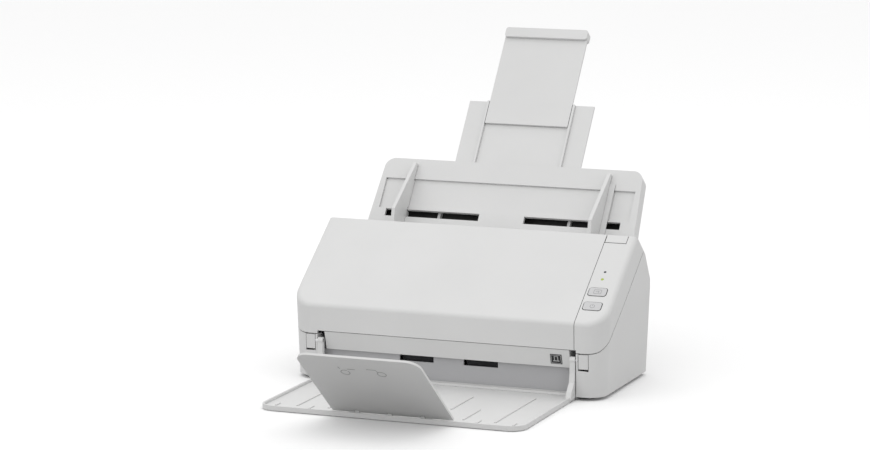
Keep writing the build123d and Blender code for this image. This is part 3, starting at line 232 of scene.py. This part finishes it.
def back_panel(name, colour, slot_shade_colour, inward):
    """Light moulded plastic with painted shade: the faces that look into the chute are painted near black.
    """
    material, tree, shader = start_material(name)
    where = place(tree)
    slow = noise(tree, where, 14.0, 4.0)
    colours = ramp(tree, slow, [(0.3, shade(colour, 0.98)), (0.7, shade(colour, 1.02))])
    facing = tree.nodes.new("ShaderNodeTexCoord")
    along = tree.nodes.new("ShaderNodeVectorMath")
    along.operation = "DOT_PRODUCT"
    along.inputs[1].default_value = inward
    tree.links.new(facing.outputs["Normal"], along.inputs[0])
    # Painted shade: faces turned into the chute slot are made near black, though the plastic is light.
    dark = ramp(tree, along.outputs["Value"], [(0.85, (1.0, 1.0, 1.0)), (0.9, slot_shade_colour)])
    mix = tree.nodes.new("ShaderNodeMix")
    mix.data_type = "RGBA"
    mix.blend_type = "MULTIPLY"
    mix.inputs["Factor"].default_value = 1.0
    tree.links.new(colours, mix.inputs[6])
    tree.links.new(dark, mix.inputs[7])
    # The colour also gets painted shade in narrow gaps and inner corners.
    tree.links.new(painted_crease_shade(tree, mix.outputs[2]), shader.inputs["Base Color"])
    tree.links.new(spread(tree, slow, 0.55, 0.65), shader.inputs["Roughness"])
    bump(tree, shader, noise(tree, where, 2600.0, 3.0), 0.00003)
    return material


def metal(name, colour, rough, stretch, grain):
    """Metal with fine marks drawn out along the way it was rolled or ground."""
    material, tree, shader = start_material(name)
    where = place(tree, stretch)
    marks = noise(tree, where, grain, 4.0)
    colours = ramp(tree, marks, [(0.3, shade(colour, 0.86)), (0.7, shade(colour, 1.08))])
    tree.links.new(colours, shader.inputs["Base Color"])
    tree.links.new(spread(tree, marks, rough - 0.08, rough + 0.1), shader.inputs["Roughness"])
    shader.inputs["Metallic"].default_value = 1.0
    bump(tree, shader, marks, 0.00001, 0.6)
    return material


def rubber(name, colour, grain, depth):
    """Matt rubber with a ground surface and pale dust in it."""
    material, tree, shader = start_material(name)
    where = place(tree)
    fine = noise(tree, where, grain, 4.0)
    dust = noise(tree, where, 160.0, 5.0)
    colours = ramp(tree, dust, [(0.4, colour), (0.75, shade(colour, 1.7))])
    tree.links.new(colours, shader.inputs["Base Color"])
    tree.links.new(spread(tree, fine, 0.7, 0.92), shader.inputs["Roughness"])
    shader.inputs["Specular IOR Level"].default_value = 0.3
    bump(tree, shader, fine, depth)
    return material


def glass(name):
    """The flat glass over a sensor: clear, with a trace of green and of lint."""
    material, tree, shader = start_material(name)
    where = place(tree)
    lint = noise(tree, where, 900.0, 6.0)
    colours = ramp(tree, lint, [(0.5, (0.55, 0.66, 0.62)), (0.85, (0.75, 0.82, 0.8))])
    tree.links.new(colours, shader.inputs["Base Color"])
    tree.links.new(spread(tree, lint, 0.03, 0.09), shader.inputs["Roughness"])
    shader.inputs["Transmission Weight"].default_value = 0.75
    shader.inputs["IOR"].default_value = 1.5
    return material


def circuit_board(name):
    """Green solder mask with paler tracks under it."""
    material, tree, shader = start_material(name)
    where = place(tree)
    tracks = tree.nodes.new("ShaderNodeTexBrick")
    tracks.inputs["Scale"].default_value = 130.0
    tracks.inputs["Mortar Size"].default_value = 0.035
    tracks.inputs["Color1"].default_value = (0.012, 0.14, 0.05, 1.0)
    tracks.inputs["Color2"].default_value = (0.015, 0.17, 0.065, 1.0)
    tracks.inputs["Mortar"].default_value = (0.05, 0.32, 0.14, 1.0)
    tree.links.new(where, tracks.inputs["Vector"])
    tree.links.new(tracks.outputs["Color"], shader.inputs["Base Color"])
    shader.inputs["Roughness"].default_value = 0.35
    bump(tree, shader, tracks.outputs["Fac"], 0.00003, 0.5)
    return material


def lamp_lens(name, colour, glow):
    """A small clear plastic lens, a little lit from behind."""
    material, tree, shader = start_material(name)
    where = place(tree)
    cloud = noise(tree, where, 700.0)
    colours = ramp(tree, cloud, [(0.3, shade(colour, 0.9)), (0.7, shade(colour, 1.1))])
    tree.links.new(colours, shader.inputs["Base Color"])
    tree.links.new(colours, shader.inputs["Emission Color"])
    shader.inputs["Emission Strength"].default_value = glow
    shader.inputs["Roughness"].default_value = 0.18
    return material


WHITE = (0.68, 0.68, 0.677)
MATERIALS = {
    "case_white": moulded("case_white", WHITE, 0.58),
    "tray_white": moulded("tray_white", (0.69, 0.69, 0.686), 0.6),
    # Its near black second colour is painted shade for the faces inside the chute slot.
    "back_panel": back_panel("back_panel", (0.69, 0.69, 0.686), (0.03, 0.03, 0.03), CHUTE_NORMAL),
    "inner_grey": moulded("inner_grey", (0.42, 0.42, 0.43), 0.5, 1800.0),
    "inner_dark": moulded("inner_dark", (0.022, 0.022, 0.024), 0.5, 1500.0, vary=0.1),
    "button_grey": moulded("button_grey", (0.56, 0.56, 0.565), 0.42, 3200.0, 0.00001),
    "gear_white": moulded("gear_white", (0.72, 0.7, 0.63), 0.35, 900.0, 0.00001),
    "sheet_steel": metal("sheet_steel", (0.6, 0.61, 0.62), 0.34, (1.0, 1.0, 0.08), 900.0),
    "shaft_steel": metal("shaft_steel", (0.68, 0.68, 0.69), 0.2, (0.05, 1.0, 1.0), 1500.0),
    "roller_rubber": rubber("roller_rubber", (0.022, 0.022, 0.024), 1600.0, 0.00006),
    "foot_rubber": rubber("foot_rubber", (0.014, 0.014, 0.014), 1100.0, 0.00004),
    "sensor_glass": glass("sensor_glass"),
    "board_green": circuit_board("board_green"),
    "lamp_clear": lamp_lens("lamp_clear", (0.33, 0.42, 0.05), 0.15),
    "lamp_dark": lamp_lens("lamp_dark", (0.02, 0.02, 0.03), 0.0),
    "button_mark": moulded("button_mark", (0.3, 0.3, 0.31), 0.5, 2000.0, 0.000005),
    "label_light": moulded("label_light", (0.62, 0.62, 0.62), 0.4, 2000.0, 0.000005),
    "mark_grey": moulded("mark_grey", (0.4, 0.4, 0.4), 0.55, 2400.0),
    "lens_dark": moulded("lens_dark", (0.05, 0.055, 0.06), 0.2, 1500.0, 0.000005),
    "lens_white": moulded("lens_white", (0.8, 0.85, 0.8), 0.15, 1500.0, 0.000005),
    "label_dark": moulded("label_dark", (0.012, 0.012, 0.014), 0.3, 600.0, 0.000004, vary=0.1),
    "bush_black": moulded("bush_black", (0.014, 0.014, 0.014), 0.45, 1400.0, vary=0.1),
}


def paint(piece, name):
    """Puts one of the materials on a piece made here."""
    piece.data.materials.append(MATERIALS[name])


# The chute's back panel gets painted shade on the faces that look into the slot.
OWN_LOOKS = {"chute_back_panel": "back_panel"}


def dress_nodes():
    """Gives every CAD node a procedural material, that of its slot in the record unless it has its own."""
    for part in frame["record"]["subparts"]:
        node = frame["nodes"][part["node"]]
        look = OWN_LOOKS.get(part["node"], part["material_slot"])
        for slot in node.material_slots:
            slot.material = MATERIALS[look]


# Shapes ------------------------------------------------------------------------------

FLAP_ANGLE = math.radians(38.3)
FLAP_PIN = Vector((0.0, -192.4, 4.6))
FLAP_HALF_THICK = 1.0
BAND_UP = Vector((0.0, -5.35, 16.7)).normalized()
BAND_OUT = Vector((0.0, -16.7, -5.35)).normalized()
LABEL_MIDDLE = Vector((103.3, -62.22, 35.1))
LABEL_THICK = 0.3
PATH_START = Vector((0.0, -60.0, 25.5))
PATH_ALONG = Vector((0.0, 2.0, 1.0)).normalized()
PATH_OUT = Vector((0.0, -1.0, 2.0)).normalized()


def slope_point(x, v, lift):
    """A point over the slope: x across, v up the slope from its crease, lift out of it, in mm."""
    return Vector((x * MM, 0.0, 0.0)) + CREASE + SLOPE_UP * (v * MM) + SLOPE_NORMAL * (lift * MM)


def flap_point(x, v, lift):
    """A point over the stopper's front face: x across, v up the flap from its pin, in mm."""
    up = Vector((0.0, -math.cos(FLAP_ANGLE), math.sin(FLAP_ANGLE)))
    out = Vector((0.0, -math.sin(FLAP_ANGLE), -math.cos(FLAP_ANGLE)))
    return (FLAP_PIN + Vector((x, 0.0, 0.0)) + up * v + out * (FLAP_HALF_THICK + lift)) * MM


def band_point(x, v, lift):
    """A point over the label on the cover's lower band, from the label's middle, in mm."""
    across = Vector((x, 0.0, 0.0))
    return (LABEL_MIDDLE + across + BAND_UP * v + BAND_OUT * (LABEL_THICK + lift)) * MM


def path_point(x, y, lift):
    """A point over the paper path inside, which falls by half towards the exit, in mm."""
    foot = PATH_START + PATH_ALONG * ((y - PATH_START.y) / PATH_ALONG.y)
    return (foot + Vector((x, 0.0, 0.0)) + PATH_OUT * lift) * MM


def finish_mesh(bm, name, body, material, smooth=True):
    """Turns a built mesh into a piece that rides on a CAD body."""
    bmesh.ops.recalc_face_normals(bm, faces=bm.faces)
    mesh = bpy.data.meshes.new(name)
    bm.to_mesh(mesh)
    bm.free()
    for polygon in mesh.polygons:
        polygon.use_smooth = smooth
    piece = bpy.data.objects.new(name, mesh)
    bpy.context.scene.collection.objects.link(piece)
    paint(piece, material)
    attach(piece, body)
    return piece


def stroke(bm, points, width, low, high, where, closed=False):
    """A flat moulded line of one width along 2-D points, between two heights over a face."""
    count = len(points)
    rows = []
    for i, point in enumerate(points):
        before = Vector(points[i - 1]) if i or closed else Vector(point)
        after = Vector(points[(i + 1) % count]) if i + 1 < count or closed else Vector(point)
        along = (after - before).normalized()
        side = Vector((-along.y, along.x)) * (width / 2)
        left, right = Vector(point) + side, Vector(point) - side
        rows.append(
            [
                bm.verts.new(where(left.x, left.y, low)),
                bm.verts.new(where(left.x, left.y, high)),
                bm.verts.new(where(right.x, right.y, high)),
                bm.verts.new(where(right.x, right.y, low)),
            ]
        )
    for i in range(count if closed else count - 1):
        here, there = rows[i], rows[(i + 1) % count]
        for k in range(4):
            bm.faces.new((here[k], here[(k + 1) % 4], there[(k + 1) % 4], there[k]))
    if not closed:
        bm.faces.new(rows[0])
        bm.faces.new(tuple(reversed(rows[-1])))


def arc(x, v, radius, start, end, steps=24):
    """Points on an arc, with its angles in degrees."""
    points = []
    for i in range(steps + 1):
        angle = math.radians(start + (end - start) * i / steps)
        points.append((x + radius * math.cos(angle), v + radius * math.sin(angle)))
    return points


def rounded_box(half_x, half_v, radius):
    """Points round a rectangle with round corners."""
    points = []
    for sign_x, sign_v, start in ((1, 1, 0), (-1, 1, 90), (-1, -1, 180), (1, -1, 270)):
        middle = (sign_x * (half_x - radius), sign_v * (half_v - radius))
        points += arc(*middle, radius, start, start + 90, 6)
    return points


def lathe(bm, profile, where, steps=48):
    """A turned shape: profile is (radius, height) pairs, and where puts (x, v, height) in space."""
    rings = []
    for radius, height in profile:
        ring = []
        for k in range(steps):
            angle = 2 * math.pi * k / steps
            ring.append(bm.verts.new(where(radius * math.cos(angle), radius * math.sin(angle), height)))
        rings.append(ring)
    for low, high in zip(rings, rings[1:]):
        for k in range(steps):
            bm.faces.new((low[k], low[(k + 1) % steps], high[(k + 1) % steps], high[k]))
    bm.faces.new(tuple(reversed(rings[0])))
    bm.faces.new(rings[-1])


# Pieces ------------------------------------------------------------------------------

PANEL_X = 131.8
SCAN_V = 40.1
POWER_V = 22.6
BUTTON_PROUD = 0.4
LAMPS = (("lamp_alert", 64.9, 1.2, "lamp_dark"), ("lamp_ready", 55.8, 1.4, "lamp_clear"))


def make_lamps():
    """Two domed light pipes in the control strip: the upper one is out, the lower one is lit."""
    for name, v, radius, look in LAMPS:
        bm = bmesh.new()
        profile = [(radius * 0.98, -7.5), (radius * 0.98, -0.1)]
        for i in range(6):
            tilt = math.radians(15.0 * i)
            profile.append((radius * 0.98 * math.cos(tilt) + 0.01, 0.2 * math.sin(tilt)))

        def over_slope(x, y, height, v=v):
            return slope_point(PANEL_X + x, v + y, height)

        lathe(bm, profile, over_slope)
        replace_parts(finish_mesh(bm, name, "cover", look), "status_lamps")


def make_button_marks():
    """Generic marks on the two buttons: a sheet with an arrow, and a power sign."""

    def on_scan(x, v, lift):
        return slope_point(PANEL_X + x, SCAN_V + v, BUTTON_PROUD + lift)

    def on_power(x, v, lift):
        return slope_point(PANEL_X + x, POWER_V + v, BUTTON_PROUD + lift)

    bm = bmesh.new()
    stroke(bm, rounded_box(3.4, 2.3, 0.7), 0.4, -0.05, 0.06, on_scan, closed=True)
    stroke(bm, [(-1.8, 0.0), (1.6, 0.0)], 0.4, -0.05, 0.06, on_scan)
    stroke(bm, [(0.5, 1.0), (1.7, 0.0), (0.5, -1.0)], 0.4, -0.05, 0.06, on_scan)
    finish_mesh(bm, "scan_button_mark", "scan_key", "button_mark", smooth=False)
    bm = bmesh.new()
    stroke(bm, arc(0.0, -0.2, 2.0, 122, 418), 0.42, -0.05, 0.06, on_power)
    stroke(bm, [(0.0, 0.1), (0.0, 2.4)], 0.42, -0.05, 0.06, on_power)
    finish_mesh(bm, "power_button_mark", "power_key", "button_mark", smooth=False)


def make_label_mark():
    """A plain generic mark on the dark label: a sheet going down into a slot."""
    bm = bmesh.new()
    stroke(bm, rounded_box(4.5, 3.9, 0.6), 0.3, -0.02, 0.05, band_point, closed=True)
    stroke(bm, [(-2.9, -1.7), (2.9, -1.7)], 0.6, -0.02, 0.05, band_point)
    stroke(bm, [(-1.6, -1.2), (-1.6, 2.6), (1.6, 2.6), (1.6, -1.2)], 0.5, -0.02, 0.05, band_point)
    finish_mesh(bm, "label_mark", "cover", "label_light", smooth=False)


def make_finger_marks():
    """The two moulded hook marks near the stopper's top edge."""
    bm = bmesh.new()
    lines = (
        [(-19.3, 87.0), (-18.3, 84.0)],
        arc(-15.3, 77.6, 3.9, 55, 400),
        [(-11.7, 84.0), (-4.9, 83.9)],
        [(6.1, 86.1), (14.2, 85.9), (15.2, 82.4)],
        arc(17.9, 79.0, 3.8, 135, 490),
    )
    for points in lines:
        stroke(bm, points, 0.75, -0.3, 0.15, flap_point)
    finish_mesh(bm, "stopper_finger_marks", "stopper", "mark_grey", smooth=False)


def make_tyres(name, body, axis, radius, centres, width, ribs):
    """Rubber tyres with fine ribs along their tread, one at each x, in place of the CAD ones."""
    bm = bmesh.new()
    steps = ribs * 4
    bore = 2.5
    edge = 0.5
    depth = 0.22
    for centre in centres:
        low, high = centre - width / 2, centre + width / 2
        rings = []
        stations = [(low, bore, 0.0), (low, radius - edge, 0.0), (low + edge * 0.4, radius - 0.1, 0.5)]
        stations += [(low + edge, radius, 1.0), (high - edge, radius, 1.0)]
        stations += [(high - edge * 0.4, radius - 0.1, 0.5), (high, radius - edge, 0.0), (high, bore, 0.0)]
        for x, reach, groove in stations:
            ring = []
            for k in range(steps):
                angle = 2 * math.pi * k / steps
                r = reach - (depth * groove if k % 4 in (2, 3) else 0.0)
                place_at = Vector((x, axis[0] + r * math.cos(angle), axis[1] + r * math.sin(angle)))
                ring.append(bm.verts.new(place_at * MM))
            rings.append(ring)
        rings.append(rings[0])
        for here, there in zip(rings, rings[1:]):
            for k in range(steps):
                bm.faces.new((here[k], here[(k + 1) % steps], there[(k + 1) % steps], there[k]))
    piece = finish_mesh(bm, name + "_ribbed", body, "roller_rubber", smooth=False)
    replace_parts(piece, name)


def make_all_tyres():
    """Ribbed tyres on the pick, feed, eject and brake shafts."""
    brake = path_point(0.0, 22.0, 10.6) / MM
    make_tyres("pick_roller", "pick", (27.14, 55.98), 12.0, (0.0,), 40.0, 60)
    make_tyres("feed_rollers", "feed", (3.0, 49.5), 7.0, (-29.0, 29.0), 22.0, 40)
    make_tyres("eject_rollers", "eject", (-46.5, 24.76), 7.0, (-30.5, 30.5), 29.0, 40)
    make_tyres("brake_roller", "brake", (brake.y, brake.z), 10.0, (0.0,), 30.0, 52)


def box_from(bm, corners):
    """A box from four corners low down and the same four higher up."""
    low = [bm.verts.new(corner) for corner in corners[:4]]
    high = [bm.verts.new(corner) for corner in corners[4:]]
    bm.faces.new(tuple(reversed(low)))
    bm.faces.new(high)
    for k in range(4):
        bm.faces.new((low[k], low[(k + 1) % 4], high[(k + 1) % 4], high[k]))


def make_lens_rows():
    """The row of tiny lenses and the light guide that show through each sensor's glass."""
    pitch = 4.0
    count = 54
    for name, body, y, low, high in (
        ("lower", "body", -14.0, -0.92, -0.7),
        ("upper", "cover", -28.0, 2.6, 2.82),
    ):
        for part, offset, half, look in (
            ("lens_row", -2.0, 0.7, "lens_dark"),
            ("light_guide", 2.2, 1.3, "lens_white"),
        ):
            bm = bmesh.new()
            for i in range(count):
                left = (i - count / 2) * pitch + 0.05
                right = left + pitch - 0.1
                corners = []
                for lift in (low, high):
                    for x, along in ((left, -half), (right, -half), (right, half), (left, half)):
                        corners.append(path_point(x, y + (offset + along) * PATH_ALONG.y, lift))
                box_from(bm, corners)
            finish_mesh(bm, f"{name}_{part}", body, look, smooth=False)


make_camera()
make_lights()
make_floor()
dress_nodes()
make_lamps()
make_button_marks()
make_label_mark()
make_finger_marks()
make_all_tyres()
make_lens_rows()
